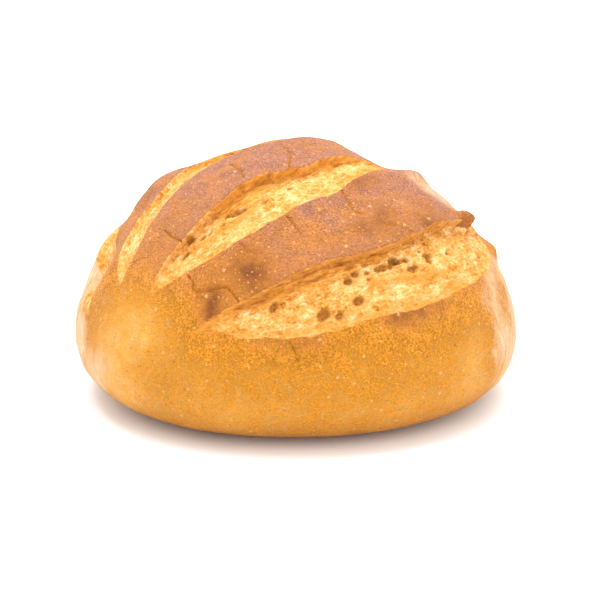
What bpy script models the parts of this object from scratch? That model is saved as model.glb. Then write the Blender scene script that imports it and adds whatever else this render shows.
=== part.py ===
"""A round hearth loaf with four slashes, as one closed solid.

The loaf stands on its flat base at z = 0, with the middle of its base at the origin. Its crown is
described on an unrolled disc: a point at polar angle a from +Z lies a * UNROLL from the disc's middle,
in its own compass direction. Slashes, swells and hollows are placed on that disc, in millimetres.
The shape is worked out in millimetres and written to the mesh in metres.
"""

import math

import bmesh
import bpy
import numpy as np
from mathutils import Vector, noise

METRES = 0.001

# The smooth body: a crown over a belly, pressed flat where the loaf stood on the hearth.
LOAF_LENGTH = 200.0
LOAF_DEPTH = 172.0
BELLY_HEIGHT = 29.0
CROWN_RISE = 85.3
CROWN_POWER = 1.82
PLAN_POWER = 2.08
BELLY_POWER = 2.2
BELLY_REACH = 43.5
FOOT_ROUNDING = 14.0
PRESSED_FLAT = 0.5
UNROLL = 100.0
SHIFT = (0.15, 0.1, 0.0)

# Slow swells of the dough.
SWELL_WAVE = 55.0
SWELL_HEIGHT = 1.1
SWELL_SEED = Vector((3.1, 7.7, 1.9))

# The section across every slash: an ear that leans over a wall, a floor that climbs back to the near edge.
WALL_WIDTH = 2.4
FLOOR_CURVE = 1.4
OVERHANG = 1.6
UNDERCUT = 0.5
EAR_REACH = 9.0
LEAN_REACH = 4.0
NEAR_LIP = 1.0
NEAR_LIP_WIDTH = 3.5
NEAR_LIP_REACH = 6.0
FULLY_OPEN = 14.0
EDGE_WANDER = 1.3
EDGE_WAVE = 13.0

# Each slash runs along knots (u, v, half width) on the unrolled disc, from its left tip to its right tip.
SLASHES = {
    "back": {
        "depth": 4.0,
        "ear": 1.6,
        "knots": [
            (-134, -50, 0), (-128, -37, 5), (-119, -21, 7), (-111, -3, 11), (-97, 24, 14), (-76, 50, 15),
            (-50, 72, 15), (-22, 88, 13), (6, 97, 9), (26, 101, 0),
        ],
    },
    "crown": {
        "depth": 3.2,
        "ear": 1.6,
        "knots": [
            (-106, -62, 0), (-98, -49, 6), (-90, -38, 8), (-76, -22, 7.5), (-62, -8, 8), (-46, 2, 9),
            (-28, 8, 12), (-10, 12, 14), (10, 22, 13), (28, 36, 11), (46, 50, 7), (60, 62, 0),
        ],
    },
    "middle": {
        "depth": 3.8,
        "ear": 2.2,
        "knots": [
            (-90, -80, 0), (-78, -77, 5), (-65, -74, 9), (-50, -69, 12), (-36, -63, 14), (-24, -56, 16),
            (-13, -50, 16), (-2, -45, 13), (11, -39, 12), (21, -29, 11), (29, -21, 9), (37, -15, 6),
            (44, -10, 3), (51, -5, 0),
        ],
    },
    "front": {
        "depth": 4.6,
        "ear": 2.4,
        "knots": [
            (-68, -112, 0), (-50, -114, 4), (-35, -116, 9), (-21, -116, 12), (0, -113, 16), (20, -107, 17.5),
            (38, -98, 17.5), (53, -90, 17), (67, -79, 17.5), (78, -66, 17.5), (88, -52, 17), (96, -38, 16),
            (102, -25, 13), (107, -12, 8), (110, 0, 0),
        ],
    },
}

# Round swells and hollows, as (u, v, radius, height).
SWELLS = [
    (-136, -28, 16, 2.0),
    (-119, -21, 12, -9.5),
    (-88, -2, 8, -2.5),
    (118, 6, 6, 3.0),
    (-73, 12, 14, 4.0),
    (0, 6, 26, 2.0),
    (47, 20, 20, -4.0),
    (64, 12, 9, 4.0),
    (-30, 24, 16, -1.8),
]

# The knob of dough on the front ear, near its right end.
NUB_PLACE = (93.0, -16.0)
NUB_RADIUS = 5.5
NUB_HEIGHT = 4.2

# The mesh.
FIRST_SUBDIVISIONS = 5
SLASH_MARGIN = 5.0
NUB_MARGIN = 1.2
EDGE_BAND = 3.0
NARROWEST = 1.5


def smooth_step(x):
    x = np.clip(x, 0.0, 1.0)
    return x * x * (3.0 - 2.0 * x)


def curve(knots, per_span=10):
    """A Catmull-Rom curve through the knots."""
    k = np.array(knots, float)
    k = np.vstack([2 * k[0] - k[1], k, 2 * k[-1] - k[-2]])
    t = np.linspace(0.0, 1.0, per_span, endpoint=False)[:, None]
    spans = [
        0.5 * (2 * b + (c - a) * t + (2 * a - 5 * b + 4 * c - d) * t**2 + (3 * b - a - 3 * c + d) * t**3)
        for a, b, c, d in zip(k, k[1:], k[2:], k[3:])
    ]
    return np.vstack([*spans, k[-2:-1]])


def slow_noise(points, wave):
    return np.array([noise.noise(Vector(p) / wave + SWELL_SEED) for p in points])


class Slash:
    """A slash as each point of the disc sees it.

    offset is the distance to the slash's middle line, positive on the far side; across is the unit vector
    that it is measured along; half is half the slash's width there; opened fades to 0 at its tips.
    """

    def __init__(self, disc, sizes, wander):
        line = curve(sizes["knots"])
        start, run = line[:-1, :2], np.diff(line[:, :2], axis=0)
        length = np.hypot(*run.T)
        share = ((disc[:, None] - start) * run).sum(2) / length**2
        share = np.clip(share, 0.0, 1.0)
        away = disc[:, None] - start - share[:, :, None] * run
        nearest = np.argmin((away**2).sum(2), axis=1)
        row = np.arange(len(disc))
        share, away = share[row, nearest], away[row, nearest]
        self.across = np.column_stack([-run[:, 1], run[:, 0]])[nearest] / length[nearest][:, None]
        side = np.where((away * self.across).sum(1) < 0, -1.0, 1.0)
        self.offset = side * np.hypot(*away.T)
        half = np.maximum(line[nearest, 2] + share * np.diff(line[:, 2])[nearest], 0.0)
        self.opened = smooth_step(half / FULLY_OPEN)
        self.half = half + wander * self.opened
        self.depth, self.ear = sizes["depth"], sizes["ear"]

    def relief(self):
        """Height over the smooth body, and the lean towards the near side."""
        from_far, from_near = self.half - self.offset, self.half + self.offset
        rise = np.clip(from_far / np.maximum(2 * self.half, NARROWEST), 0.0, 1.0)
        wall = smooth_step(from_far / WALL_WIDTH)
        floor = self.depth * (1 - rise) ** FLOOR_CURVE
        near_lip = NEAR_LIP * (1 - smooth_step(from_near / NEAR_LIP_WIDTH))
        inside = self.ear * (1 - wall) + (near_lip - floor) * wall
        far_side = self.ear * np.exp(np.minimum(from_far, 0.0) / EAR_REACH)
        near_side = NEAR_LIP * np.exp(np.minimum(from_near, 0.0) / NEAR_LIP_REACH)
        height = np.where(from_far < 0, far_side, np.where(from_near < 0, near_side, inside))
        lean = np.where(from_far < 0, np.exp(np.minimum(from_far, 0.0) / LEAN_REACH), 1 - wall)
        undercut = np.where(from_far < 0, 0.0, wall * (1 - smooth_step(rise * 2)))
        return self.opened * height, self.opened * (OVERHANG * lean - UNDERCUT * undercut)


def slashes_at(disc):
    wander = EDGE_WANDER * slow_noise(np.column_stack([disc, np.zeros(len(disc))]), EDGE_WAVE)
    return [Slash(disc, sizes, wander) for sizes in SLASHES.values()]


def direction_to_disc(directions):
    polar = np.arccos(np.clip(directions[:, 2], -1.0, 1.0))
    compass = np.arctan2(directions[:, 1], directions[:, 0])
    return UNROLL * polar[:, None] * np.column_stack([np.cos(compass), np.sin(compass)])


def disc_to_direction(place):
    polar, compass = math.hypot(*place) / UNROLL, math.atan2(place[1], place[0])
    return Vector((math.sin(polar) * math.cos(compass), math.sin(polar) * math.sin(compass), math.cos(polar)))


def body(disc):
    """The smooth body's surface."""
    polar, compass = np.hypot(*disc.T) / UNROLL, np.arctan2(disc[:, 1], disc[:, 0])
    sine, cosine = np.sin(polar), np.cos(polar)
    plan = (
        (np.abs(np.cos(compass)) / (LOAF_LENGTH / 2)) ** PLAN_POWER
        + (np.abs(np.sin(compass)) / (LOAF_DEPTH / 2)) ** PLAN_POWER
    ) ** (-1 / PLAN_POWER)
    crown = cosine > 0
    power = np.where(crown, CROWN_POWER, BELLY_POWER)
    reach = np.where(crown, CROWN_RISE, BELLY_REACH)
    radius = ((np.abs(sine) / plan) ** power + (np.abs(cosine) / reach) ** power) ** (-1 / power)
    height = BELLY_HEIGHT + radius * cosine
    blend = np.maximum(FOOT_ROUNDING - np.abs(height), 0.0) / FOOT_ROUNDING
    height = np.maximum(height, 0.0) + blend**2 * FOOT_ROUNDING / 4
    height = np.maximum(height - PRESSED_FLAT, 0.0)
    return np.column_stack([radius * sine * np.cos(compass), radius * sine * np.sin(compass), height])


def outward(disc):
    """Unit normals of the smooth body, from small steps in polar angle and compass direction."""
    step = 0.5
    disc = np.where(np.hypot(*disc.T)[:, None] < step, (step, 0.0), disc)
    radial = disc / np.hypot(*disc.T)[:, None]
    around = np.column_stack([-radial[:, 1], radial[:, 0]])
    along = body(disc + step * radial) - body(disc)
    beside = body(disc + step * around) - body(disc)
    normal = np.cross(along, beside)
    return normal / np.linalg.norm(normal, axis=1)[:, None]


def from_nub(disc):
    """How far each point is from the middle of the nub, in nub radii."""
    return np.hypot(*(disc - NUB_PLACE).T) / NUB_RADIUS


def nub_dome(disc):
    """The nub's height as a share of its top."""
    return np.sqrt(np.maximum(1 - from_nub(disc) ** 2, 0.0))


def shaped(directions):
    """The loaf's surface in each direction, with its slashes, swells and hollows."""
    disc = direction_to_disc(directions)
    smooth = body(disc)
    height, move = SWELL_HEIGHT * slow_noise(smooth, SWELL_WAVE), np.zeros_like(disc)
    for slash in slashes_at(disc):
        raised, lean = slash.relief()
        height += raised
        move -= lean[:, None] * slash.across
    for u, v, radius, rise in SWELLS:
        height += rise * np.exp(-((disc[:, 0] - u) ** 2 + (disc[:, 1] - v) ** 2) / radius**2)
    height += NUB_HEIGHT * nub_dome(disc)
    above_foot = smooth_step(smooth[:, 2] / FOOT_ROUNDING)[:, None]
    return body(disc + move * above_foot) + height[:, None] * above_foot * outward(disc) + SHIFT


def refine(bm, wanted):
    """Cuts every edge whose middle is wanted, and puts the new points back on the unit sphere."""
    middles = np.array([(e.verts[0].co + e.verts[1].co).normalized() for e in bm.edges])
    edges = [e for e, take in zip(bm.edges[:], wanted(direction_to_disc(middles))) if take]
    bmesh.ops.subdivide_edges(bm, edges=edges, cuts=1)
    bmesh.ops.triangulate(bm, faces=bm.faces[:])
    for vert in bm.verts:
        vert.co.normalize()


def near_slashes(disc):
    near = [(np.abs(s.offset) < s.half + SLASH_MARGIN) & (s.half > NARROWEST) for s in slashes_at(disc)]
    return np.any(near, axis=0) | (from_nub(disc) < NUB_MARGIN)


def near_walls(disc):
    near = [
        (np.abs(s.half - WALL_WIDTH / 2 - s.offset) < EDGE_BAND) & (s.half > NARROWEST)
        for s in slashes_at(disc)
    ]
    return np.any(near, axis=0) | (from_nub(disc) < NUB_MARGIN)


def align(bm, number, line):
    """Moves the nearer end of every mesh edge that crosses a line of one slash onto the line.

    line gives the line's own offset from the slash's middle, and is not a number where the line has ended.
    """
    disc = direction_to_disc(np.array([v.co for v in bm.verts]))
    slash = slashes_at(disc)[number]
    beyond = slash.offset - line(slash)
    bm.verts.index_update()
    for edge in bm.edges:
        nearer, other = sorted(edge.verts, key=lambda vert: abs(beyond[vert.index]))
        if beyond[nearer.index] * beyond[other.index] < 0:
            moved = disc[nearer.index] - beyond[nearer.index] * slash.across[nearer.index]
            nearer.co = disc_to_direction(moved)


def far_edge(slash):
    return np.where(slash.half > NARROWEST, slash.half, np.nan)


def wall_foot(slash):
    return np.where(slash.half > WALL_WIDTH, slash.half - WALL_WIDTH, np.nan)


def near_edge(slash):
    return np.where(slash.half > NARROWEST, -slash.half, np.nan)


def crust_material():
    material = bpy.data.materials.new("baked_crust")
    material.use_nodes = True
    shader = material.node_tree.nodes["Principled BSDF"]
    shader.inputs["Base Color"].default_value = (0.62, 0.31, 0.09, 1.0)
    shader.inputs["Roughness"].default_value = 0.62
    shader.inputs["Metallic"].default_value = 0.0
    return material


def loaf(collection):
    bm = bmesh.new()
    bmesh.ops.create_icosphere(bm, subdivisions=FIRST_SUBDIVISIONS, radius=1.0)
    refine(bm, near_slashes)
    refine(bm, near_walls)
    for number in range(len(SLASHES)):
        for line in (far_edge, wall_foot, near_edge):
            align(bm, number, line)
    for vert, place in zip(bm.verts, shaped(np.array([v.co for v in bm.verts]))):
        vert.co = Vector(place) * METRES
    base = [f for f in bm.faces if all(v.co.z <= 0.0 for v in f.verts)]
    bmesh.ops.dissolve_faces(bm, faces=base)
    mesh = bpy.data.meshes.new("loaf")
    bm.to_mesh(mesh)
    bm.free()
    mesh.shade_smooth()
    mesh.materials.append(crust_material())
    made = bpy.data.objects.new("loaf", mesh)
    collection.objects.link(made)
    return made


def main():
    for old in list(bpy.data.objects):
        bpy.data.objects.remove(old)
    collection = bpy.data.collections.new("round_loaf")
    bpy.context.scene.collection.children.link(collection)
    loaf(collection)


main()
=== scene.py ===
"""The looks of a round hearth loaf with four slashes: one skin that replaces the plain solid.

The skin is shaped as the solid is. Its crown is described on an unrolled disc: a point at polar angle a
from +Z lies a * UNROLL from the disc's middle, in its own compass direction. Shapes are worked out in
millimetres and written to the meshes in metres.
"""

import math

import bmesh
import bpy
import numpy as np
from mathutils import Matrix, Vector, noise


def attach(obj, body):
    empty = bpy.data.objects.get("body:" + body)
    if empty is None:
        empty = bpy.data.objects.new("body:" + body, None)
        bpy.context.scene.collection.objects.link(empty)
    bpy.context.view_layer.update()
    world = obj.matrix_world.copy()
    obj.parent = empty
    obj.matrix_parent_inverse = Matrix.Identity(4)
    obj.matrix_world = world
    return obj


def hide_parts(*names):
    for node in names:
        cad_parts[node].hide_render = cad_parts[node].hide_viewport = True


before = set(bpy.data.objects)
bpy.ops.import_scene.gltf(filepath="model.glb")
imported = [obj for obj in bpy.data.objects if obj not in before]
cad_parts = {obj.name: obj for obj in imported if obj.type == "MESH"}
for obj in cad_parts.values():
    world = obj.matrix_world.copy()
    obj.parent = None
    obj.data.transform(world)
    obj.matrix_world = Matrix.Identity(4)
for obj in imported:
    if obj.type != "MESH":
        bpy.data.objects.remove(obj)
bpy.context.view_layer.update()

METRES = 0.001

# The smooth body: a crown over a belly, pressed flat where the loaf stood on the hearth.
LOAF_LENGTH = 200.0
LOAF_DEPTH = 172.0
BELLY_HEIGHT = 29.0
CROWN_RISE = 85.3
CROWN_POWER = 1.82
PLAN_POWER = 2.08
BELLY_POWER = 2.2
BELLY_REACH = 43.5
FOOT_ROUNDING = 14.0
PRESSED_FLAT = 0.5
UNROLL = 100.0
SHIFT = (0.15, 0.1, 0.0)

# Slow swells of the dough.
SWELL_WAVE = 55.0
SWELL_HEIGHT = 1.1
SWELL_SEED = Vector((3.1, 7.7, 1.9))

# The section across every slash: an ear that leans over a wall, a floor that climbs back to the near edge.
WALL_WIDTH = 2.4
FLOOR_CURVE = 1.4
OVERHANG = 1.6
UNDERCUT = 0.5
EAR_REACH = 9.0
LEAN_REACH = 4.0
NEAR_LIP = 1.0
NEAR_LIP_WIDTH = 3.5
NEAR_LIP_REACH = 6.0
FULLY_OPEN = 14.0
EDGE_WANDER = 1.3
EDGE_WAVE = 13.0
EDGE_RAGGED = 0.6
EDGE_RAGGED_WAVE = 4.5

# The toasted part of the crumb: along the near lip, and where a slash narrows to its tips.
LIP_TOAST_FROM = 1.0
LIP_TOAST_WIDTH = 7.0
TIP_HALF_WIDTH = 7.0
TIP_TOAST = 0.8

# Each slash runs along knots (u, v, half width) on the unrolled disc, from its left tip to its right tip.
# lip says how toasted the crumb is along the near edge, as (share of the length, darkness). skin says how
# far the toasted skin reaches from the far edge, and how dark it is, as (share of the length, share of the
# width, darkness); where the share of the width is below 0, bare crumb reaches the far edge.
SLASHES = {
    "back": {
        "depth": 4.0,
        "ear": 1.6,
        "lip": [(0.0, 0.2), (1.0, 0.2)],
        "knots": [
            (-134, -50, 0), (-128, -37, 5), (-119, -21, 7), (-111, -3, 11), (-97, 24, 14), (-76, 50, 15),
            (-50, 72, 15), (-22, 88, 13), (6, 97, 9), (26, 101, 0),
        ],
        "skin": [(0.0, -0.1, 0.2), (0.5, 0.0, 0.4), (1.0, 0.0, 0.4)],
    },
    "crown": {
        "depth": 3.2,
        "ear": 1.6,
        "lip": [(0.0, 0.2), (1.0, 0.2)],
        "knots": [
            (-106, -62, 0), (-98, -49, 6), (-90, -38, 8), (-76, -22, 7.5), (-62, -8, 8), (-46, 2, 9),
            (-28, 8, 12), (-10, 12, 14), (10, 22, 13), (28, 36, 11), (46, 50, 7), (60, 62, 0),
        ],
        "skin": [(0.0, -0.2, 0.0), (0.35, -0.1, 0.2), (0.5, 0.2, 0.6), (1.0, 0.1, 0.5)],
    },
    "middle": {
        "depth": 3.8,
        "ear": 2.2,
        "lip": [(0.0, 0.3), (1.0, 0.4)],
        "knots": [
            (-90, -80, 0), (-78, -77, 5), (-65, -74, 9), (-50, -69, 12), (-36, -63, 14), (-24, -56, 16),
            (-13, -50, 16), (-2, -45, 13), (11, -39, 12), (21, -29, 11), (29, -21, 9), (37, -15, 6),
            (44, -10, 3), (51, -5, 0),
        ],
        "skin": [
            (0.0, -0.2, 0.0), (0.3, -0.15, 0.1), (0.36, 0.3, 0.9), (0.47, 0.34, 0.9), (0.55, 0.16, 0.7),
            (0.8, 0.24, 0.7), (1.0, 0.2, 0.6),
        ],
    },
    "front": {
        "depth": 4.6,
        "ear": 2.4,
        "lip": [(0.0, 0.3), (0.5, 0.7), (0.72, 0.8), (0.84, 0.0), (1.0, 0.0)],
        "knots": [
            (-68, -112, 0), (-50, -114, 4), (-35, -116, 9), (-21, -116, 12), (0, -113, 16), (20, -107, 17.5),
            (38, -98, 17.5), (53, -90, 17), (67, -79, 17.5), (78, -66, 17.5), (88, -52, 17), (96, -38, 16),
            (102, -25, 13), (107, -12, 8), (110, 0, 0),
        ],
        "skin": [
            (0.0, 0.4, 0.7), (0.25, 0.34, 0.75), (0.4, 0.28, 0.7), (0.5, 0.2, 0.65), (0.6, 0.1, 0.6),
            (0.8, 0.06, 0.4), (0.88, -0.1, 0.1), (1.0, -0.2, 0.0),
        ],
    },
}

# Round swells and hollows, as (u, v, radius, height).
SWELLS = [
    (-136, -28, 16, 2.0),
    (-119, -21, 12, -9.5),
    (-88, -2, 8, -2.5),
    (118, 6, 6, 3.0),
    (-73, 12, 14, 4.0),
    (0, 6, 26, 2.0),
    (47, 20, 20, -4.0),
    (64, 12, 9, 4.0),
    (-30, 24, 16, -1.8),
]

# The knob of dough on the front ear, near its right end.
NUB_PLACE = (93.0, -16.0)
NUB_RADIUS = 5.5
NUB_HEIGHT = 4.2

# Fine splits in the crust, each through points of the unrolled disc.
SPLITS = [
    [(-6, -9), (-3, -18), (-4, -31)],
    [(-34, -17), (-29, -27), (-27, -35)],
    [(-72, -49), (-68, -57), (-63, -63)],
    [(24, -44), (28, -51), (32, -56), (38, -57)],
    [(-5, -65), (-1, -70), (2, -74)],
    [(-62, -84), (-60, -89), (-60, -93), (-51, -97), (-42, -98), (-37, -103), (-34, -107)],
    [(-4, -131), (-1, -135), (1, -140)],
    [(-30, -78), (-27, -83)],
    [(49, -59), (55, -57), (62, -57)],
]
SPLIT_WIDTH = 0.7
SPLIT_DEPTH = 1.0

# Torn ledges inside the slashes that stood up and toasted orange, each through points of the disc.
LEDGES = [
    [(44, -95), (53, -91), (60, -86), (68, -81), (77, -75), (86, -66)],
    [(-55, -70), (-46, -68), (-38, -64), (-30, -61), (-23, -58)],
]
LEDGE_WIDTH = 2.2
LEDGE_HEIGHT = 1.0
LEDGE_FADE = 2.0

# Folds where the crust buckled, each through points of the disc.
FOLDS = [
    [(28, -37), (38, -29), (47, -16), (56, -10), (64, -19), (73, -24), (84, -19)],
    [(20, -68), (34, -64), (45, -51), (57, -44), (70, -40)],
    [(-58, -22), (-48, -26), (-36, -24)],
]
FOLD_WIDTH = 4.0
FOLD_HEIGHT = 1.0

# How the crumb tore: noise whose crests lie this far apart (along, across the slash), its height, and the
# value that it has where the crumb is neither raised nor sunk. Skin that is still on tears in ledges. Pores
# reach from their core out to their rim, as shares of their spacing.
COARSE_TEARS = (12.0, 4.5)
COARSE_TEAR_HEIGHT = 1.0
FINE_TEARS = (3.4, 1.8)
FINE_TEAR_HEIGHT = 0.8
SKIN_TEAR_HEIGHT = 2.4
CREST_MIDDLE = 0.7
PORE_SPACING = (5.0, 3.2)
PORE_CORE = 0.1
PORE_RIM = 0.25
PORE_DEPTH = 0.8

# The tears fade in this far from a slash's edges and past the toasted skin, where the slash is this open. The
# noise of one slash is read this far from the next one's.
CLEAR_OF_EDGE = 2.5
SKIN_FADE = 3.0
TORN_FROM = 0.05
SLASHES_APART = 40.0

# Open bubbles in the crumb, as (u, v, radius, depth), drawn out along the slashes. The rim, as a share of
# the radius, is where a bubble gets its depth.
BUBBLE_TURN = math.radians(35.0)
BUBBLE_STRETCH = 1.5
BUBBLE_RIM = 0.35
BUBBLES = [
    (48, -85, 2.0, 1.0), (51, -83, 2.2, 1.3), (55, -80, 1.6, 1.0), (57, -76, 2.8, 2.4), (60, -75, 1.8, 1.6),
    (64, -72, 1.8, 1.6), (68, -76, 2.4, 1.8), (70, -73, 1.5, 1.2), (76, -62, 2.3, 1.6), (77, -65, 1.8, 1.8),
    (71, -62, 1.2, 0.9), (42, -89, 1.3, 1.0), (43, -93, 1.2, 0.8), (31, -97, 2.2, 1.3), (35, -92, 2.0, 1.3),
    (38, -106, 2.8, 1.5), (27, -116, 2.2, 1.0), (17, -117, 3.6, 1.2), (-14, -113, 2.6, 1.3),
    (87, -51, 1.4, 0.9), (-37, -56, 2.0, 1.5), (-33, -56, 2.4, 1.9), (-29, -56, 2.2, 1.7),
    (-52, -65, 1.6, 1.2), (-48, -64, 1.4, 1.0), (-40, -62, 1.5, 1.0), (-63, -71, 2.0, 1.2),
    (-59, -63, 1.8, 1.1), (-17, -52, 1.7, 1.0), (-3, -43, 1.5, 1.0),
]

# Blisters and flakes that stand up from the crust, as (u, v, radius, height).
BLISTERS = [
    (-97, -100, 3.4, 0.8), (-21, -90, 2.4, 0.5), (46, -139, 2.6, 0.6), (-70, -139, 2.6, 0.5),
    (88, -100, 2.4, 0.6), (-42, -151, 2.0, 0.5), (-118, -66, 2.2, 0.5), (77, -123, 2.2, 0.5),
    (52, -103, 2.2, 0.6), (20, 10, 2.4, 0.5), (-60, 30, 2.8, 0.6), (60, 70, 3.0, 0.6), (110, 60, 2.6, 0.6),
    (-20, 130, 3.0, 0.7), (-110, 70, 2.6, 0.5),
]
BLISTER_PALER = 0.12

# How dark the crust has baked, 0 to 1: its sides, how much more the crown has from this polar angle (in
# degrees) up, how much more there is under the foot, which is baked darker there and also painted shade where
# the loaf curves under, how much more along an ear, and how much less just over the foot.
SIDE_TOAST = 0.26
CROWN_TOAST = 0.36
CROWN_TOAST_FROM = 88.0
CROWN_TOAST_OVER = 34.0
FOOT_TOAST_AND_SHADE = 0.3
FOOT_TOAST_AND_SHADE_TO = 11.0
EAR_TOAST = 0.14
EAR_TOAST_REACH = 5.0
PALE_BELT = 0.06
PALE_BELT_HEIGHT = 20.0
PALE_BELT_REACH = 12.0

# Where the crust has toasted darker or stayed paler, as (u, v, radius, darkness).
TOASTED = [
    (31, -35, 5, 0.25), (36, -31, 6, 0.2), (41, -26, 5, 0.2), (34, -65, 7, 0.15), (38, -67, 6, 0.1),
    (46, -49, 8, 0.18), (69, -48, 5, 0.25), (72, -35, 6, 0.15), (65, -31, 7, 0.15), (47, -59, 6, 0.18),
    (-24, -95, 10, 0.25), (-31, -89, 8, 0.2), (-53, -101, 9, 0.28), (-50, -110, 9, 0.26), (93, -17, 8, 0.12),
    (-28, -128, 8, 0.2), (-13, -131, 8, 0.25), (3, -132, 8, 0.25), (15, -130, 8, 0.2), (56, -110, 6, 0.15),
    (63, -106, 7, 0.24), (70, -101, 7, 0.24), (77, -95, 7, 0.22), (85, -87, 7, 0.22), (10, -45, 30, -0.1),
    # The paler place at (70, -14) is painted sheen on the crown's right slope.
    (-130, -95, 25, -0.12), (10, 0, 30, 0.1), (70, -14, 14, -0.2),
]

# Where the crust is paler, towards its left and right sides, as (u, v, radius, paleness).
PALER = [(-101, -76, 26, 0.2), (-84, -92, 20, 0.12), (118, -90, 16, 0.12), (-80, -112, 12, 0.06)]

# Toasted places are mottled at this wave, and keep at least this share of their darkness.
TOAST_MOTTLE_WAVE = 5.0
TOAST_MOTTLE = 0.6
LEAST_TOAST = 0.4

# Low lumps of the crust, which fade out towards the slashes.
CRUST_LUMP_WAVE = 11.0
CRUST_LUMP_HEIGHT = 0.45
CRUST_LUMP_FADE = 3.0

# Flour on the crust and painted sheen at its sides, both as one pale tint: past this distance to either side,
# with a wandering edge, and at (u, v, radius, strength).
FLOUR_AND_SHEEN_FROM = 70.0
FLOUR_AND_SHEEN_OVER = 28.0
FLOUR_AND_SHEEN_WANDER = 14.0
FLOUR_AND_SHEEN_WAVE = 18.0
FLOUR_AND_SHEEN_SPOTS = [
    (75, -8, 13, 0.6), (62, 5, 12, 0.5), (85, 5, 14, 0.6), (99, 13, 14, 0.5), (-60, 25, 18, 0.4),
    (-100, -20, 12, 0.4),
]

# Painted sheen: a mauve tint for the overhead light's reflection on the crust. It grows from this height up
# to the crown, and is lost where the crust toasted.
PAINTED_SHEEN_FROM = 60.0
PAINTED_SHEEN_RISE = 50.0
PAINTED_SHEEN_LOST = 2.0

# The crumb field: how sharply it fades in at a slash's tips, and what stands for far outside a slash.
TIP_SHARPNESS = 1.6
BARELY_OPEN = 0.02
FAR_OUTSIDE = -99.0

# The mesh of the skin: where it is cut finer, how narrow a slash may be and still be followed, and how many
# points are measured at a time.
FIRST_SUBDIVISIONS = 6
SIDES_TO = math.radians(125.0)
SLASH_MARGIN = 2.5
NUB_MARGIN = 1.3
EDGE_BAND = 1.6
SPLIT_BAND = 1.0
NARROWEST = 1.5
BATCH = 20000


def smooth_step(x):
    x = np.clip(x, 0.0, 1.0)
    return x * x * (3.0 - 2.0 * x)


def curve(knots, per_span=10):
    """A Catmull-Rom curve through the knots."""
    k = np.array(knots, float)
    k = np.vstack([2 * k[0] - k[1], k, 2 * k[-1] - k[-2]])
    t = np.linspace(0.0, 1.0, per_span, endpoint=False)[:, None]
    spans = [
        0.5 * (2 * b + (c - a) * t + (2 * a - 5 * b + 4 * c - d) * t**2 + (3 * b - a - 3 * c + d) * t**3)
        for a, b, c, d in zip(k, k[1:], k[2:], k[3:])
    ]
    return np.vstack([*spans, k[-2:-1]])


def nearest_on(line, disc):
    """Each point's signed distance to the line (positive on its left), the unit vector that the distance is
    measured along, and how far along the line it is, in segments and in millimetres."""
    start, run = line[:-1, :2], np.diff(line[:, :2], axis=0)
    length = np.hypot(*run.T)
    batches = np.array_split(disc, len(disc) // BATCH + 1)
    closest = np.concatenate([((part[:, None] - line[:, :2]) ** 2).sum(2).argmin(1) for part in batches])
    sides = np.clip([closest - 1, closest], 0, len(run) - 1)
    share = np.clip(((disc - start[sides]) * run[sides]).sum(2) / length[sides] ** 2, 0.0, 1.0)
    away = disc - start[sides] - share[:, :, None] * run[sides]
    nearer, row = (away**2).sum(2).argmin(0), np.arange(len(disc))
    nearest, share, away = sides[nearer, row], share[nearer, row], away[nearer, row]
    across = np.column_stack([-run[:, 1], run[:, 0]])[nearest] / length[nearest][:, None]
    side = np.where((away * across).sum(1) < 0, -1.0, 1.0)
    travelled = np.concatenate([[0.0], np.cumsum(length)])
    return side * np.hypot(*away.T), across, nearest + share, travelled[nearest] + share * length[nearest]


def slow_noise(points, wave):
    return np.array([noise.noise(Vector(p) / wave + SWELL_SEED) for p in points])


def rough_noise(points, roughness, gap, octaves):
    """Layered noise about 0, each octave finer than the last by the gap."""
    return np.array([noise.fractal(Vector(p), roughness, gap, octaves) for p in points])


def ridges(points):
    """Noise with sharp crests, about 0 to 1."""
    return 1.0 - np.abs(rough_noise(points, 0.8, 2.1, 2))


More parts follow.
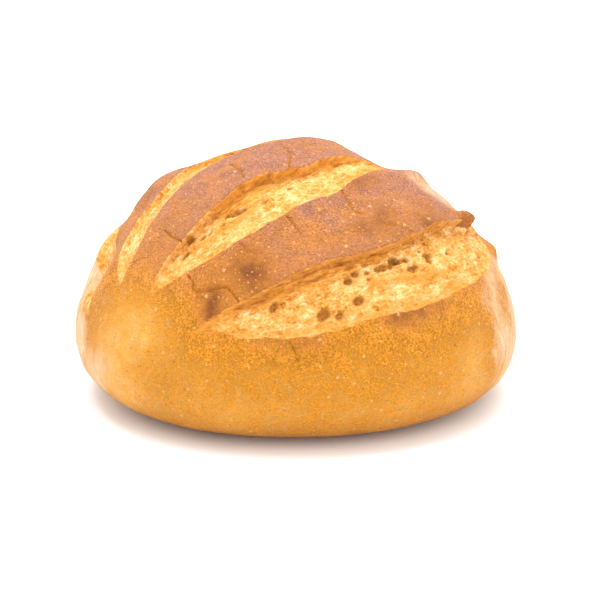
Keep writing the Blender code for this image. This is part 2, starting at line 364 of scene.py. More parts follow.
class Slash:
    """A slash as each point of the disc sees it.

    offset is the distance to the slash's middle line, positive on the far side, and across is the unit
    vector that it is measured along. half is half the slash's width there, and opened fades to 0 at its
    tips. rise goes from 0 at the far edge to 1 at the near edge. past_skin is how far the point is past the
    toasted skin, and skin is how dark that skin is. lip is how toasted the crumb is along the near edge
    and at the tips.
    """

    def __init__(self, number, disc, sizes, wander):
        line = curve(sizes["knots"])
        self.offset, self.across, segment, self.along = nearest_on(line, disc)
        half = np.maximum(np.interp(segment, np.arange(len(line)), line[:, 2]), 0.0)
        self.opened = smooth_step(half / FULLY_OPEN)
        self.half = half + wander * self.opened
        self.depth, self.ear, self.number = sizes["depth"], sizes["ear"], number
        self.from_far, self.from_near = self.half - self.offset, self.half + self.offset
        self.rise = np.clip(self.from_far / np.maximum(2 * self.half, NARROWEST), 0.0, 1.0)
        shares, reach, darkness = np.array(sizes["skin"]).T
        share = self.along / np.hypot(*np.diff(line[:, :2], axis=0).T).sum()
        self.past_skin = 2 * self.half * (self.rise - np.interp(share, shares, reach))
        self.skin = np.interp(share, shares, darkness)
        lip = np.interp(share, *np.array(sizes["lip"]).T)
        lip *= 1 - smooth_step((self.from_near - LIP_TOAST_FROM) / LIP_TOAST_WIDTH)
        self.lip = np.maximum(lip, TIP_TOAST * (1 - smooth_step(half / TIP_HALF_WIDTH)))

    def depth_inside(self):
        """How far each point is inside the slash's edges, below 0 outside them."""
        inside = np.minimum(self.from_far, self.from_near) * np.minimum(TIP_SHARPNESS * self.opened, 1.0)
        return np.where(self.opened > BARELY_OPEN, inside, FAR_OUTSIDE)

    def relief(self):
        """Height over the smooth body, and the lean towards the near side."""
        wall = smooth_step(self.from_far / WALL_WIDTH)
        floor = self.depth * (1 - self.rise) ** FLOOR_CURVE
        near_lip = NEAR_LIP * (1 - smooth_step(self.from_near / NEAR_LIP_WIDTH))
        inside = self.ear * (1 - wall) + (near_lip - floor) * wall
        far_side = self.ear * np.exp(np.minimum(self.from_far, 0.0) / EAR_REACH)
        near_side = NEAR_LIP * np.exp(np.minimum(self.from_near, 0.0) / NEAR_LIP_REACH)
        height = np.where(self.from_far < 0, far_side, np.where(self.from_near < 0, near_side, inside))
        lean = np.where(self.from_far < 0, np.exp(np.minimum(self.from_far, 0.0) / LEAN_REACH), 1 - wall)
        undercut = np.where(self.from_far < 0, 0.0, wall * (1 - smooth_step(self.rise * 2)))
        return self.opened * height, self.opened * (OVERHANG * lean - UNDERCUT * undercut)

    def torn(self):
        """The torn crumb's own relief: long fibres, ledges in the toasted skin, and pores."""
        height = np.zeros(len(self.offset))
        inside = np.flatnonzero((self.from_far > 0) & (self.from_near > 0) & (self.opened > TORN_FROM))
        place = np.column_stack([
            self.along[inside], self.offset[inside], np.full(len(inside), SLASHES_APART * self.number)
        ])
        coarse = ridges(place / (*COARSE_TEARS, 1.0)) - CREST_MIDDLE
        fine = ridges(place / (*FINE_TEARS, 1.0)) - CREST_MIDDLE
        pore = np.array([noise.voronoi(Vector(p))[0][0] for p in place / (*PORE_SPACING, 1.0)])
        pores = 1 - smooth_step((pore - PORE_CORE) / PORE_RIM)
        open_crumb = smooth_step(self.past_skin[inside] / SKIN_FADE + 0.5)
        ledges = (1 - open_crumb) * coarse * SKIN_TEAR_HEIGHT
        crumb = open_crumb * (fine * FINE_TEAR_HEIGHT + coarse * COARSE_TEAR_HEIGHT - PORE_DEPTH * pores)
        clear = smooth_step(np.minimum(self.from_far, self.from_near)[inside] / CLEAR_OF_EDGE)
        height[inside] = clear * self.opened[inside] * (ledges + crumb)
        return height


def slashes_at(disc, numbers=range(len(SLASHES))):
    flat = np.column_stack([disc, np.zeros(len(disc))])
    wander = EDGE_WANDER * slow_noise(flat, EDGE_WAVE) + EDGE_RAGGED * slow_noise(flat, EDGE_RAGGED_WAVE)
    return [Slash(number, disc, list(SLASHES.values())[number], wander) for number in numbers]


def distance_to(lines, disc):
    """How far each point is from the nearest of the curves."""
    return np.min([np.abs(nearest_on(curve(points), disc)[0]) for points in lines], axis=0)


def bubbles_at(disc):
    """How far each point is inside every open bubble, 0 to 1."""
    cosine, sine = math.cos(BUBBLE_TURN), math.sin(BUBBLE_TURN)
    turn = np.array([[cosine / BUBBLE_STRETCH, -sine], [sine / BUBBLE_STRETCH, cosine]])
    away = [np.hypot(*((disc - (u, v)) @ turn).T) / radius for u, v, radius, _ in BUBBLES]
    return np.array([1 - smooth_step((share - 1 + BUBBLE_RIM) / BUBBLE_RIM) for share in away])


def direction_to_disc(directions):
    polar = np.arccos(np.clip(directions[:, 2], -1.0, 1.0))
    compass = np.arctan2(directions[:, 1], directions[:, 0])
    return UNROLL * polar[:, None] * np.column_stack([np.cos(compass), np.sin(compass)])


def disc_to_direction(place):
    polar, compass = math.hypot(*place) / UNROLL, math.atan2(place[1], place[0])
    return Vector((math.sin(polar) * math.cos(compass), math.sin(polar) * math.sin(compass), math.cos(polar)))


def body(disc):
    """The smooth body's surface."""
    polar, compass = np.hypot(*disc.T) / UNROLL, np.arctan2(disc[:, 1], disc[:, 0])
    sine, cosine = np.sin(polar), np.cos(polar)
    plan = (
        (np.abs(np.cos(compass)) / (LOAF_LENGTH / 2)) ** PLAN_POWER
        + (np.abs(np.sin(compass)) / (LOAF_DEPTH / 2)) ** PLAN_POWER
    ) ** (-1 / PLAN_POWER)
    crown = cosine > 0
    power = np.where(crown, CROWN_POWER, BELLY_POWER)
    reach = np.where(crown, CROWN_RISE, BELLY_REACH)
    radius = ((np.abs(sine) / plan) ** power + (np.abs(cosine) / reach) ** power) ** (-1 / power)
    height = BELLY_HEIGHT + radius * cosine
    blend = np.maximum(FOOT_ROUNDING - np.abs(height), 0.0) / FOOT_ROUNDING
    height = np.maximum(height, 0.0) + blend**2 * FOOT_ROUNDING / 4
    height = np.maximum(height - PRESSED_FLAT, 0.0)
    return np.column_stack([radius * sine * np.cos(compass), radius * sine * np.sin(compass), height])


def outward(disc):
    """Unit normals of the smooth body, from small steps in polar angle and compass direction."""
    step = 0.5
    disc = np.where(np.hypot(*disc.T)[:, None] < step, (step, 0.0), disc)
    radial = disc / np.hypot(*disc.T)[:, None]
    around = np.column_stack([-radial[:, 1], radial[:, 0]])
    along = body(disc + step * radial) - body(disc)
    beside = body(disc + step * around) - body(disc)
    normal = np.cross(along, beside)
    return normal / np.linalg.norm(normal, axis=1)[:, None]


def mounds(disc, places):
    """The sum of round mounds, each (u, v, radius, height)."""
    return sum(
        height * np.exp(-((disc[:, 0] - u) ** 2 + (disc[:, 1] - v) ** 2) / radius**2)
        for u, v, radius, height in places
    )


def from_nub(disc):
    """How far each point is from the middle of the nub, in nub radii."""
    return np.hypot(*(disc - NUB_PLACE).T) / NUB_RADIUS


def nub_dome(disc):
    """The nub's height as a share of its top."""
    return np.sqrt(np.maximum(1 - from_nub(disc) ** 2, 0.0))


def toast_and_shade_at(disc, smooth, slashes):
    """How dark the crust has baked, 0 to 1: darkest on the crown, along the ears and under the foot, where
    the darkness is also painted shade.
    """
    polar, height = np.degrees(np.hypot(*disc.T) / UNROLL), smooth[:, 2]
    toast_and_shade = SIDE_TOAST + CROWN_TOAST * smooth_step((CROWN_TOAST_FROM - polar) / CROWN_TOAST_OVER)
    # Under the foot the crust is baked darker, and is also painted darker as shade where the loaf curves
    # under.
    toast_and_shade += FOOT_TOAST_AND_SHADE * (1 - smooth_step(height / FOOT_TOAST_AND_SHADE_TO))
    toast_and_shade -= PALE_BELT * (1 - smooth_step(np.abs(height - PALE_BELT_HEIGHT) / PALE_BELT_REACH))
    for s in slashes:
        beside_ear = np.exp(np.minimum(s.from_far, 0.0) / EAR_TOAST_REACH) * (s.from_far <= 0)
        toast_and_shade += EAR_TOAST * s.opened * beside_ear
    mottled = 1 + TOAST_MOTTLE * rough_noise(smooth / TOAST_MOTTLE_WAVE, 0.7, 2.2, 4)
    toast_and_shade += np.maximum(mottled, LEAST_TOAST) * mounds(disc, TOASTED)
    toast_and_shade -= mounds(disc, PALER) + BLISTER_PALER * mounds(disc, BLISTERS)
    return np.clip(toast_and_shade, 0.0, 1.0)


def skin_fields(disc, smooth, slashes):
    """What the material reads: all distances are in millimetres."""
    depth_in = np.array([s.depth_inside() for s in slashes])
    owner, row = depth_in.argmax(0), np.arange(len(disc))
    # Flour, and painted sheen at the rims, lie towards both sides.
    sideways = np.abs(smooth[:, 0]) + FLOUR_AND_SHEEN_WANDER * slow_noise(smooth, FLOUR_AND_SHEEN_WAVE)
    # Painted sheen: a mauve tint that grows with height up to the crown, where the overhead light reflects.
    painted_sheen = (smooth[:, 2] - PAINTED_SHEEN_FROM) / PAINTED_SHEEN_RISE - PAINTED_SHEEN_LOST * mounds(disc, TOASTED)

    def of_owner(name):
        return np.array([getattr(s, name) for s in slashes])[owner, row]

    return {
        "crumb": depth_in[owner, row] - NUB_RADIUS * nub_dome(disc),
        "skin": of_owner("skin"),
        "past_skin": of_owner("past_skin"),
        "split": distance_to(SPLITS, disc),
        "ledge": np.exp(-((distance_to(LEDGES, disc) / LEDGE_WIDTH) ** 2)),
        "lip": of_owner("lip"),
        "hollow": bubbles_at(disc).max(0),
        "toast_and_shade": toast_and_shade_at(disc, smooth, slashes),
        "painted_sheen": np.clip(painted_sheen, 0.0, 1.0),
        "flour_and_sheen": np.maximum(smooth_step((sideways - FLOUR_AND_SHEEN_FROM) / FLOUR_AND_SHEEN_OVER), mounds(disc, FLOUR_AND_SHEEN_SPOTS)),
        "grain": np.column_stack([of_owner("along"), of_owner("offset"), SLASHES_APART * owner]),
    }


def shaped(directions):
    """The skin's points in millimetres, and the fields that its material reads."""
    disc = direction_to_disc(directions)
    smooth, slashes = body(disc), slashes_at(disc)
    height, move = SWELL_HEIGHT * slow_noise(smooth, SWELL_WAVE), np.zeros_like(disc)
    for slash in slashes:
        raised, lean = slash.relief()
        height += raised + slash.torn()
        move -= lean[:, None] * slash.across
    fields = skin_fields(disc, smooth, slashes)
    lumps = rough_noise(smooth / CRUST_LUMP_WAVE, 0.8, 2.2, 3)
    height += CRUST_LUMP_HEIGHT * lumps * smooth_step(-fields["crumb"] / CRUST_LUMP_FADE)
    folds = np.exp(-((distance_to(FOLDS, disc) / FOLD_WIDTH) ** 2))
    height += mounds(disc, SWELLS) + mounds(disc, BLISTERS) + FOLD_HEIGHT * folds
    height += NUB_HEIGHT * nub_dome(disc)
    height += LEDGE_HEIGHT * fields["ledge"] * smooth_step(fields["crumb"] / LEDGE_FADE)
    height -= np.array([depth for *_, depth in BUBBLES]) @ bubbles_at(disc)
    height -= SPLIT_DEPTH * (1 - smooth_step(fields["split"] / SPLIT_WIDTH))
    above_foot = smooth_step(smooth[:, 2] / FOOT_ROUNDING)[:, None]
    return body(disc + move * above_foot) + height[:, None] * above_foot * outward(disc) + SHIFT, fields


def refine(bm, wanted):
    """Cuts every edge whose middle is wanted, and puts the new points back on the unit sphere."""
    middles = np.array([(e.verts[0].co + e.verts[1].co).normalized() for e in bm.edges])
    edges = [e for e, take in zip(bm.edges[:], wanted(direction_to_disc(middles))) if take]
    bmesh.ops.subdivide_edges(bm, edges=edges, cuts=1)
    bmesh.ops.triangulate(bm, faces=bm.faces[:])
    for vert in bm.verts:
        vert.co.normalize()


def on_sides(disc):
    return np.hypot(*disc.T) / UNROLL < SIDES_TO


def near_slashes(disc):
    """Where the slashes, the blisters and the nub are."""
    near = [(np.abs(s.offset) < s.half + SLASH_MARGIN) & (s.half > NARROWEST) for s in slashes_at(disc)]
    blisters = [np.hypot(disc[:, 0] - u, disc[:, 1] - v) < 2 * radius for u, v, radius, _ in BLISTERS]
    return np.any(near, axis=0) | np.any(blisters, axis=0) | (from_nub(disc) < NUB_MARGIN)


def near_edges(disc):
    """Where the crust turns sharply: at the far edges of the slashes and in the splits."""
    edges = [
        (np.abs(s.half - WALL_WIDTH / 2 - s.offset) < EDGE_BAND) & (s.half > NARROWEST)
        for s in slashes_at(disc)
    ]
    return np.any(edges, axis=0) | (distance_to(SPLITS, disc) < SPLIT_BAND)


def align(bm, lines):
    """Moves the nearer end of every mesh edge that crosses one of a slash's lines onto the line.

    Each of lines gives its own offset from a slash's middle, and is not a number where it has ended.
    """
    ends = np.array([[vert.index for vert in edge.verts] for edge in bm.edges])
    verts = bm.verts[:]
    for number in range(len(SLASHES)):
        for line in lines:
            disc = direction_to_disc(np.array([v.co for v in verts]))
            slash = slashes_at(disc, [number])[0]
            beyond = slash.offset - line(slash)
            crossing = ends[beyond[ends].prod(1) < 0]
            nearer = crossing[np.arange(len(crossing)), np.abs(beyond[crossing]).argmin(1)]
            for index in np.unique(nearer):
                verts[index].co = disc_to_direction(disc[index] - beyond[index] * slash.across[index])


def far_edge(slash):
    return np.where(slash.half > NARROWEST, slash.half, np.nan)


def wall_foot(slash):
    return np.where(slash.half > WALL_WIDTH, slash.half - WALL_WIDTH, np.nan)


def near_edge(slash):
    return np.where(slash.half > NARROWEST, -slash.half, np.nan)


def loaf_skin(material):
    """The loaf's whole surface: a ball cut finer where there is detail, with its points moved into shape."""
    bm = bmesh.new()
    bmesh.ops.create_icosphere(bm, subdivisions=FIRST_SUBDIVISIONS, radius=1.0)
    refine(bm, on_sides)
    refine(bm, near_slashes)
    bm.verts.index_update()
    bm.verts.ensure_lookup_table()
    align(bm, (far_edge, wall_foot, near_edge))
    refine(bm, near_edges)
    placed, fields = shaped(np.array([v.co for v in bm.verts]))
    for vert, place in zip(bm.verts, placed):
        vert.co = Vector(place) * METRES
    mesh = bpy.data.meshes.new("loaf_skin")
    bm.to_mesh(mesh)
    bm.free()
    for name, values in fields.items():
        kind, key = ("FLOAT_VECTOR", "vector") if values.ndim == 2 else ("FLOAT", "value")
        mesh.attributes.new(name, kind, "POINT").data.foreach_set(key, values.astype(np.float32).ravel())
    mesh.shade_smooth()
    mesh.materials.append(material)
    skin = bpy.data.objects.new("loaf_skin", mesh)
    bpy.context.scene.collection.objects.link(skin)
    return skin


def linear(hex_colour):
    """An sRGB hex colour as linear red, green, blue and alpha."""
    parts = [int(hex_colour[i : i + 2], 16) / 255 for i in (1, 3, 5)]
    return (*[c / 12.92 if c <= 0.04045 else ((c + 0.055) / 1.055) ** 2.4 for c in parts], 1.0)


def add(tree, kind, values=None, links=None, stops=(), **settings):
    """Adds a node with its settings, its inputs' values, their links, and its colour stops."""
    made = tree.nodes.new(kind)
    for name, value in settings.items():
        setattr(made, name, value)
    for name, value in (values or {}).items():
        made.inputs[name].default_value = value
    for name, source in (links or {}).items():
        tree.links.new(source, made.inputs[name])
    for position, shade in stops[1:-1]:
        made.color_ramp.elements.new(position).color = linear(shade)
    for end, (position, shade) in zip((0, -1), (stops[:1] + stops[-1:])):
        made.color_ramp.elements[end].position = position
        made.color_ramp.elements[end].color = linear(shade)
    return made


def per(millimetres):
    """The scale of a texture in metres whose features are this long."""
    return 1000.0 / millimetres


def weighed(tree, start, noises):
    """start, plus how far each noise is from its middle value times its weight."""
    total = start
    for noise_value, weight in noises:
        centred = add(
            tree, "ShaderNodeMath", {1: NOISE_MIDDLE}, {0: noise_value}, operation="SUBTRACT"
        ).outputs[0]
        total = add(
            tree, "ShaderNodeMath", {1: weight}, {0: centred, 2: total}, operation="MULTIPLY_ADD"
        ).outputs[0]
    return total


# Real sizes of the crust's patterns, in millimetres. Bran and starch grains are about 0.3 mm, and are drawn
# 0.8 mm wide so that they show.
CRUST_DRIFT = 22.0
CRUST_LUMP = 5.0
CRUST_GRAIN = 0.8
# The painted sheen lies in patches of this size, and flour with painted sheen lies in wrinkles of this size.
PAINTED_SHEEN_PATCH = 12.0
FLOUR_AND_SHEEN_WRINKLE = (4.5, 4.5, 15.0)
RAGGED_EDGE = 1.5

# Real sizes of the crumb's patterns, in millimetres: fibres and layers as (along, across the slash).
CRUMB_FIBRE = (6.0, 2.6)
CRUMB_PATCH = 9.0
CRUMB_GRAIN = 1.0
CRUMB_PORE = 2.8
SKIN_LAYER = (8.0, 1.5)

# How far a fine noise bends the cells of specks and pores, in metres, and the value a noise varies about.
BEND = (0.0015, 0.0015, 0.0015)
NOISE_MIDDLE = 0.5

# The crumb's edge on the crust is made ragged by a noise of this weight, and blends in over this range. The
# crumb is also rougher than the crust.
RAGGED_WEIGHT = 1.1
RAGGED_BLEND = {"From Min": 0.45, "From Max": 0.85}
ROUGHNESS = {"To Min": 0.55, "To Max": 0.8}

# How the crust's noises are read: patches of painted sheen and of flour with painted sheen, and how light its
# grains and lumps are. A split's colour is full near its line and has gone at 0.75 mm from it.
PAINTED_SHEEN_PATCHES = {"From Min": 0.38, "From Max": 0.6, "To Min": 0.5, "To Max": 1.25}
FLOUR_AND_SHEEN_PATCHES = {"From Min": 0.2, "From Max": 0.66, "To Max": 0.92}
# Grains and lumps are lighter where the bump raises them: partly their own tone, partly painted highlight on
# their tops and painted shade between.
GRAIN_LIGHTNESS = {"From Min": 0.36, "From Max": 0.64, "To Min": 0.7, "To Max": 1.3}
LUMP_LIGHTNESS = {"From Min": 0.34, "From Max": 0.66, "To Min": 0.88, "To Max": 1.12}
SPLIT_FADE = {"From Min": 0.3, "From Max": 0.75, "To Min": 0.95, "To Max": 0.0}

# The crumb is paler the further it is past the toasted skin, in millimetres. The skin's end wanders by up to
# this many millimetres with the fibres, and is torn off over this range.
CRUMB_PALENESS = {"From Min": -3.5, "From Max": 3.0, "To Min": 0.3, "To Max": 0.59}
SKIN_WANDER = 8.0
SKIN_TORN_OFF = {"From Min": 4.8, "From Max": 3.2}

CRUST_SHADES = (
    (0.0, "#DCA65C"), (0.14, "#CA8C38"), (0.3, "#B27218"), (0.48, "#B87622"), (0.66, "#AE6C2A"),
    (1.0, "#74401E"),
)
# The mauve painted sheen of the crown, and the pale tint of flour and painted sheen on the sides.
PAINTED_SHEEN_SHADE = "#96624A"
FLOUR_AND_SHEEN_SHADE = "#E4C29E"
SPLIT_SHADE = "#A6620F"
SKIN_SHADES = ((0.3, "#84501C"), (0.43, "#C07E30"), (0.56, "#D6923E"), (0.7, "#E6B064"))
CRUMB_SHADES = ((0.0, "#8E4D16"), (0.25, "#B47228"), (0.5, "#C88C41"), (0.75, "#D9A260"), (1.0, "#ECC28B"))

# Tints over the crumb: (field, shade, strength). The hollows' tint is painted shade.
CRUMB_TINTS = (("ledge", "#C27E2E", 0.7), ("lip", "#BC7828", 0.7), ("hollow", "#8A5418", 0.8))

# Specks in the crust: (spacing in mm, how rare, size as a share of the spacing, shade, strength, height in
# mm). The finest stand for bran, the next for tiny blisters and burnt spots, and the rare ones for flour.
SPECKS = (
    (1.7, 0.35, 0.36, "#D69650", 0.6, 0.15),
    (1.9, 0.4, 0.32, "#8A5228", 0.5, -0.15),
    (3.6, 0.45, 0.28, "#DAA868", 0.55, 0.3),
    (4.5, 0.55, 0.13, "#7A4018", 0.75, -0.3),
    (15.0, 0.6, 0.1, "#E2BC8C", 0.5, 0.3),
)
SPECK_EDGE = 0.08

# The skin's attributes that are one number at each point. Its "grain" is a vector.
NUMBER_FIELDS = (
    "crumb", "skin", "past_skin", "split", "ledge", "lip", "hollow", "toast_and_shade", "painted_sheen", "flour_and_sheen",
)


def baked_bread():
    """Baked wheat bread: a dry crust, and the torn open crumb inside the slashes.

    The crust is matt, with a weak gloss, a mauve painted sheen on the crown, and flour with painted sheen on
    the sides. The crumb is rougher still.
    """
    material = bpy.data.materials.new("baked_bread")
    material.use_nodes = True
    tree = material.node_tree
    shader = tree.nodes["Principled BSDF"]
    place = add(tree, "ShaderNodeTexCoord").outputs["Object"]
    field = {
        name: add(tree, "ShaderNodeAttribute", attribute_name=name).outputs["Fac"] for name in NUMBER_FIELDS
    }
    field["grain"] = add(tree, "ShaderNodeAttribute", attribute_name="grain").outputs["Vector"]
    crust, crust_height = crust_look(tree, place, field)
    crumb, crumb_height = crumb_look(tree, place, field)
    ragged = add(
        tree, "ShaderNodeTexNoise", {"Scale": per(RAGGED_EDGE), "Detail": 3.0}, {"Vector": place}
    ).outputs["Fac"]
    edge = add(
        tree, "ShaderNodeMath", {1: RAGGED_WEIGHT}, {0: ragged, 2: field["crumb"]}, operation="MULTIPLY_ADD"
    ).outputs[0]
    inside = add(tree, "ShaderNodeMapRange", RAGGED_BLEND, {"Value": edge}).outputs["Result"]
    colour = add(
        tree, "ShaderNodeMix", None, {"Factor": inside, 6: crust, 7: crumb}, data_type="RGBA"
    ).outputs[2]
    height = add(
        tree, "ShaderNodeMix", None, {"Factor": inside, 2: crust_height, 3: crumb_height}
    ).outputs[0]
    bump = add(
        tree, "ShaderNodeBump", {"Distance": METRES, "Strength": 1.0}, {"Height": height}
    ).outputs["Normal"]
    roughness = add(tree, "ShaderNodeMapRange", ROUGHNESS, {"Value": inside}).outputs["Result"]
    tree.links.new(colour, shader.inputs["Base Color"])
    tree.links.new(bump, shader.inputs["Normal"])
    tree.links.new(roughness, shader.inputs["Roughness"])
    shader.inputs["IOR"].default_value = 1.45
    shader.inputs["Specular IOR Level"].default_value = 0.12
    shader.inputs["Sheen Weight"].default_value = 0.04
    shader.inputs["Sheen Roughness"].default_value = 0.35
    return material


def crust_look(tree, place, field):
    """Colour, and height in millimetres, of the crust."""
    drift = add(tree, "ShaderNodeTexNoise", {"Scale": per(CRUST_DRIFT), "Detail": 2.0}, {"Vector": place})
    lumpy = add(tree, "ShaderNodeTexNoise", {"Scale": per(CRUST_LUMP), "Detail": 3.0}, {"Vector": place})
    grainy = add(
        tree, "ShaderNodeTexNoise", {"Scale": per(CRUST_GRAIN), "Detail": 2.0, "Roughness": 0.6},
        {"Vector": place},
    )
    bend = grainy.outputs["Color"]
    drift, lumpy, grainy = [made.outputs["Fac"] for made in (drift, lumpy, grainy)]
    toast_and_shade = weighed(tree, field["toast_and_shade"], ((drift, 0.18), (lumpy, 0.4), (grainy, 0.5)))
    colour = add(tree, "ShaderNodeValToRGB", None, {"Fac": toast_and_shade}, CRUST_SHADES).outputs["Color"]
    colour = add_painted_sheen(tree, place, field, colour)
    colour = grained(tree, colour, lumpy, grainy)
    height = add(tree, "ShaderNodeMath", None, {0: grainy, 1: lumpy}, operation="ADD").outputs[0]
    colour, height = specked(tree, place, bend, colour, height)
    colour, height = add_flour_and_sheen(tree, place, field, colour, height)
    gap = add(tree, "ShaderNodeMapRange", SPLIT_FADE, {"Value": field["split"]}).outputs["Result"]
    colour = add(
        tree, "ShaderNodeMix", {7: linear(SPLIT_SHADE)}, {"Factor": gap, 6: colour}, data_type="RGBA"
    ).outputs[2]
    return colour, height


def add_painted_sheen(tree, place, field, colour):
    """The colour under a mauve painted sheen on the crown, which stands for the overhead light's reflection
    and lies in patches.
    """
    patchy = add(
        tree, "ShaderNodeTexNoise",
        {"Scale": per(PAINTED_SHEEN_PATCH), "Detail": 5.0, "Roughness": 0.65, "Distortion": 0.6}, {"Vector": place},
    ).outputs["Fac"]
    patchy = add(tree, "ShaderNodeMapRange", PAINTED_SHEEN_PATCHES, {"Value": patchy}).outputs["Result"]
    painted_sheen = add(
        tree, "ShaderNodeMath", None, {0: patchy, 1: field["painted_sheen"]}, operation="MULTIPLY", use_clamp=True
    ).outputs[0]
    return add(
        tree, "ShaderNodeMix", {7: linear(PAINTED_SHEEN_SHADE)}, {"Factor": painted_sheen, 6: colour}, data_type="RGBA"
    ).outputs[2]


def grained(tree, colour, lumpy, grainy):
    """The colour with each grain and lump a little lighter or darker: lighter where the bump raises it,
    partly its own tone and partly painted highlight and shade.
    """
    grain = add(tree, "ShaderNodeMapRange", GRAIN_LIGHTNESS, {"Value": grainy}).outputs["Result"]
    shaded = add(tree, "ShaderNodeMapRange", LUMP_LIGHTNESS, {"Value": lumpy}).outputs["Result"]
    grain = add(tree, "ShaderNodeMath", None, {0: grain, 1: shaded}, operation="MULTIPLY").outputs[0]
    return add(tree, "ShaderNodeHueSaturation", None, {"Value": grain, "Color": colour}).outputs["Color"]


def specked(tree, place, bend, colour, height):
    """Pale and dark specks, one kind at a time, each in cells of its own spacing."""
    bent = add(
        tree, "ShaderNodeVectorMath", {1: BEND}, {0: bend, 2: place}, operation="MULTIPLY_ADD"
    ).outputs[0]
    for spacing, rarity, size, shade, strength, raised in SPECKS:
        cell = add(tree, "ShaderNodeTexVoronoi", {"Scale": per(spacing)}, {"Vector": bent})
        chosen = add(tree, "ShaderNodeSeparateColor", None, {"Color": cell.outputs["Color"]}).outputs[0]
        reach = add(
            tree, "ShaderNodeMapRange", {"From Min": rarity, "From Max": 1.0, "To Max": size},
            {"Value": chosen},
        ).outputs["Result"]
        close = add(
            tree, "ShaderNodeMath", None, {0: reach, 1: cell.outputs["Distance"]}, operation="SUBTRACT"
        ).outputs[0]
        amount = add(
            tree, "ShaderNodeMapRange", {"From Max": SPECK_EDGE, "To Max": strength}, {"Value": close}
        ).outputs["Result"]
        colour = add(
            tree, "ShaderNodeMix", {7: linear(shade)}, {"Factor": amount, 6: colour}, data_type="RGBA"
        ).outputs[2]
        height = add(
            tree, "ShaderNodeMath", {1: raised}, {0: amount, 2: height}, operation="MULTIPLY_ADD"
        ).outputs[0]
    return colour, height


def add_flour_and_sheen(tree, place, field, colour, height):
    """Flour and painted sheen as one pale tint in upright wrinkles, where the crust kept flour and where its
    sides catch the sheen.
    """
    scale = tuple(per(size) for size in FLOUR_AND_SHEEN_WRINKLE)
    upright = add(tree, "ShaderNodeMapping", {"Scale": scale}, {"Vector": place}).outputs["Vector"]
    wrinkle = add(
        tree, "ShaderNodeTexNoise", {"Scale": 1.0, "Detail": 5.0, "Roughness": 0.65, "Distortion": 1.2},
        {"Vector": upright},
    ).outputs["Fac"]
    wrinkle = add(
        tree, "ShaderNodeMath", None, {0: wrinkle, 1: field["flour_and_sheen"]}, operation="MULTIPLY"
    ).outputs[0]
    flour_and_sheen = add(tree, "ShaderNodeMapRange", FLOUR_AND_SHEEN_PATCHES, {"Value": wrinkle}).outputs["Result"]
    colour = add(
        tree, "ShaderNodeMix", {7: linear(FLOUR_AND_SHEEN_SHADE)}, {"Factor": flour_and_sheen, 6: colour}, data_type="RGBA"
    ).outputs[2]
    height = add(
        tree, "ShaderNodeMath", {1: 0.8}, {0: wrinkle, 2: height}, operation="MULTIPLY_ADD"
    ).outputs[0]
    return colour, height


def along_slashes(tree, field, sizes):
    """Coordinates along and across the slashes, for a pattern whose features have these sizes in mm."""
    along, across = sizes
    return add(
        tree, "ShaderNodeMapping", {"Scale": (1 / along, 1 / across, 1)}, {"Vector": field["grain"]}
    ).outputs["Vector"]


def crumb_look(tree, place, field):
    """Colour, and height in millimetres, of the torn crumb: fibres and pores under toasted skin and tints."""
    fibre = add(
        tree, "ShaderNodeTexNoise", {"Scale": 1.0, "Detail": 4.0, "Distortion": 1.2},
        {"Vector": along_slashes(tree, field, CRUMB_FIBRE)},
    ).outputs["Fac"]
    patchy = add(
        tree, "ShaderNodeTexNoise", {"Scale": per(CRUMB_PATCH), "Detail": 2.0}, {"Vector": place}
    ).outputs["Fac"]
    fine = add(tree, "ShaderNodeTexNoise", {"Scale": per(CRUMB_GRAIN), "Detail": 3.0}, {"Vector": place})
    fine, bend = fine.outputs["Fac"], fine.outputs["Color"]
    bent = add(
        tree, "ShaderNodeVectorMath", {1: BEND}, {0: bend, 2: place}, operation="MULTIPLY_ADD"
    ).outputs[0]
    pore = add(tree, "ShaderNodeTexVoronoi", {"Scale": per(CRUMB_PORE)}, {"Vector": bent}).outputs["Distance"]
    pale = add(tree, "ShaderNodeMapRange", CRUMB_PALENESS, {"Value": field["past_skin"]}).outputs["Result"]
    # The fibres, grain and pores make the crumb paler where they also raise it: partly its own tone, partly
    # painted highlight on the strands and painted shade in the pores.
    pale = weighed(tree, pale, ((fibre, 1.1), (patchy, 0.9), (fine, 1.1), (pore, 0.4)))
    colour = add(tree, "ShaderNodeValToRGB", None, {"Fac": pale}, CRUMB_SHADES).outputs["Color"]
    colour = skinned(tree, field, fibre, colour)
    colour = tinted(tree, field, fine, colour)
    height = add(tree, "ShaderNodeMath", {1: 0.7}, {0: fibre}, operation="MULTIPLY").outputs[0]
    for source, millimetres in ((fine, 0.5), (pore, 0.5)):
        height = add(
            tree, "ShaderNodeMath", {1: millimetres}, {0: source, 2: height}, operation="MULTIPLY_ADD"
        ).outputs[0]
    return colour, height


def skinned(tree, field, fibre, colour):
    """The crumb under what is left of the toasted skin, which is torn along the crumb's fibres."""
    layer = add(
        tree, "ShaderNodeTexNoise", {"Scale": 1.0, "Detail": 5.0, "Roughness": 0.6, "Distortion": 0.8},
        {"Vector": along_slashes(tree, field, SKIN_LAYER)},
    ).outputs["Fac"]
    toasted = add(tree, "ShaderNodeValToRGB", None, {"Fac": layer}, SKIN_SHADES).outputs["Color"]
    ragged = add(
        tree, "ShaderNodeMath", {1: SKIN_WANDER}, {0: fibre, 2: field["past_skin"]}, operation="MULTIPLY_ADD"
    ).outputs[0]
    kept = add(tree, "ShaderNodeMapRange", SKIN_TORN_OFF, {"Value": ragged}).outputs["Result"]
    kept = add(tree, "ShaderNodeMath", None, {0: kept, 1: field["skin"]}, operation="MULTIPLY").outputs[0]
    return add(
        tree, "ShaderNodeMix", None, {"Factor": kept, 6: colour, 7: toasted}, data_type="RGBA"
    ).outputs[2]


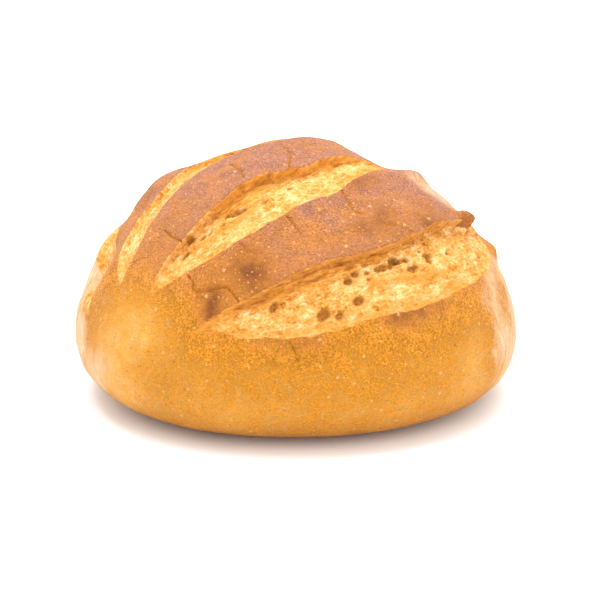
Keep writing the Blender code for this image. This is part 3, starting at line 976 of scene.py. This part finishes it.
def tinted(tree, field, fine, colour):
    """The crumb with its ledges and lips toasted and its hollows in painted shade, all worn by its fine
    grain.
    """
    for name, shade, strength in CRUMB_TINTS:
        worn = add(tree, "ShaderNodeMath", {1: 2.0 * strength}, {0: fine}, operation="MULTIPLY").outputs[0]
        amount = add(
            tree, "ShaderNodeMath", None, {0: worn, 1: field[name]}, operation="MULTIPLY", use_clamp=True
        ).outputs[0]
        colour = add(
            tree, "ShaderNodeMix", {7: linear(shade)}, {"Factor": amount, 6: colour}, data_type="RGBA"
        ).outputs[2]
    return colour


FLOOR_HALF_WIDTH = 4.0


def white_paper():
    """Uncoated white backdrop paper: matt, with no gloss to mirror the loaf."""
    material = bpy.data.materials.new("white_paper")
    material.use_nodes = True
    shader = material.node_tree.nodes["Principled BSDF"]
    shader.inputs["Base Color"].default_value = linear("#F2F2F2")
    shader.inputs["Roughness"].default_value = 0.8
    return material


def paper_floor():
    bm = bmesh.new()
    bmesh.ops.create_grid(bm, x_segments=1, y_segments=1, size=FLOOR_HALF_WIDTH)
    mesh = bpy.data.meshes.new("floor")
    bm.to_mesh(mesh)
    bm.free()
    mesh.materials.append(white_paper())
    floor = bpy.data.objects.new("floor", mesh)
    bpy.context.scene.collection.objects.link(floor)


SURROUND_STRENGTH = 1.4
LIT_POINT = Vector((0.0, 0.0, 0.05))


def softbox(name, place, size, power):
    """A square studio light that faces the loaf."""
    light = bpy.data.lights.new(name, "AREA")
    light.energy, light.size = power, size
    lamp = bpy.data.objects.new(name, light)
    lamp.location = place
    lamp.rotation_euler = (LIT_POINT - lamp.location).to_track_quat("-Z", "Y").to_euler()
    bpy.context.scene.collection.objects.link(lamp)


def studio():
    """Soft light from all round, and two large softboxes: one overhead and one in front to the right."""
    scene = bpy.context.scene
    scene.view_settings.view_transform = "Standard"
    scene.world = bpy.data.worlds.new("white_surround")
    scene.world.use_nodes = True
    background = scene.world.node_tree.nodes["Background"]
    background.inputs["Color"].default_value = (1.0, 1.0, 1.0, 1.0)
    background.inputs["Strength"].default_value = SURROUND_STRENGTH
    softbox("overhead", (-0.05, 0.15, 1.0), 0.9, 12.5)
    softbox("front", (0.3, -0.9, 0.75), 1.0, 4.5)


CAMERA_ELEVATION = math.radians(18.0)
CAMERA_DISTANCE = 0.759
CAMERA_TARGET = Vector((0.0018, 0.0, 0.042))
CAMERA_LENS = 100.0
CAMERA_SENSOR = 36.0


def camera():
    data = bpy.data.cameras.new("camera")
    data.lens, data.sensor_width = CAMERA_LENS, CAMERA_SENSOR
    made = bpy.data.objects.new("camera", data)
    back = Vector((0.0, -math.cos(CAMERA_ELEVATION), math.sin(CAMERA_ELEVATION)))
    made.location = CAMERA_TARGET + CAMERA_DISTANCE * back
    made.rotation_euler = (-back).to_track_quat("-Z", "Y").to_euler()
    bpy.context.scene.collection.objects.link(made)
    bpy.context.scene.camera = made


camera()
studio()
paper_floor()
skin = loaf_skin(baked_bread())
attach(skin, "root")
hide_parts("loaf")
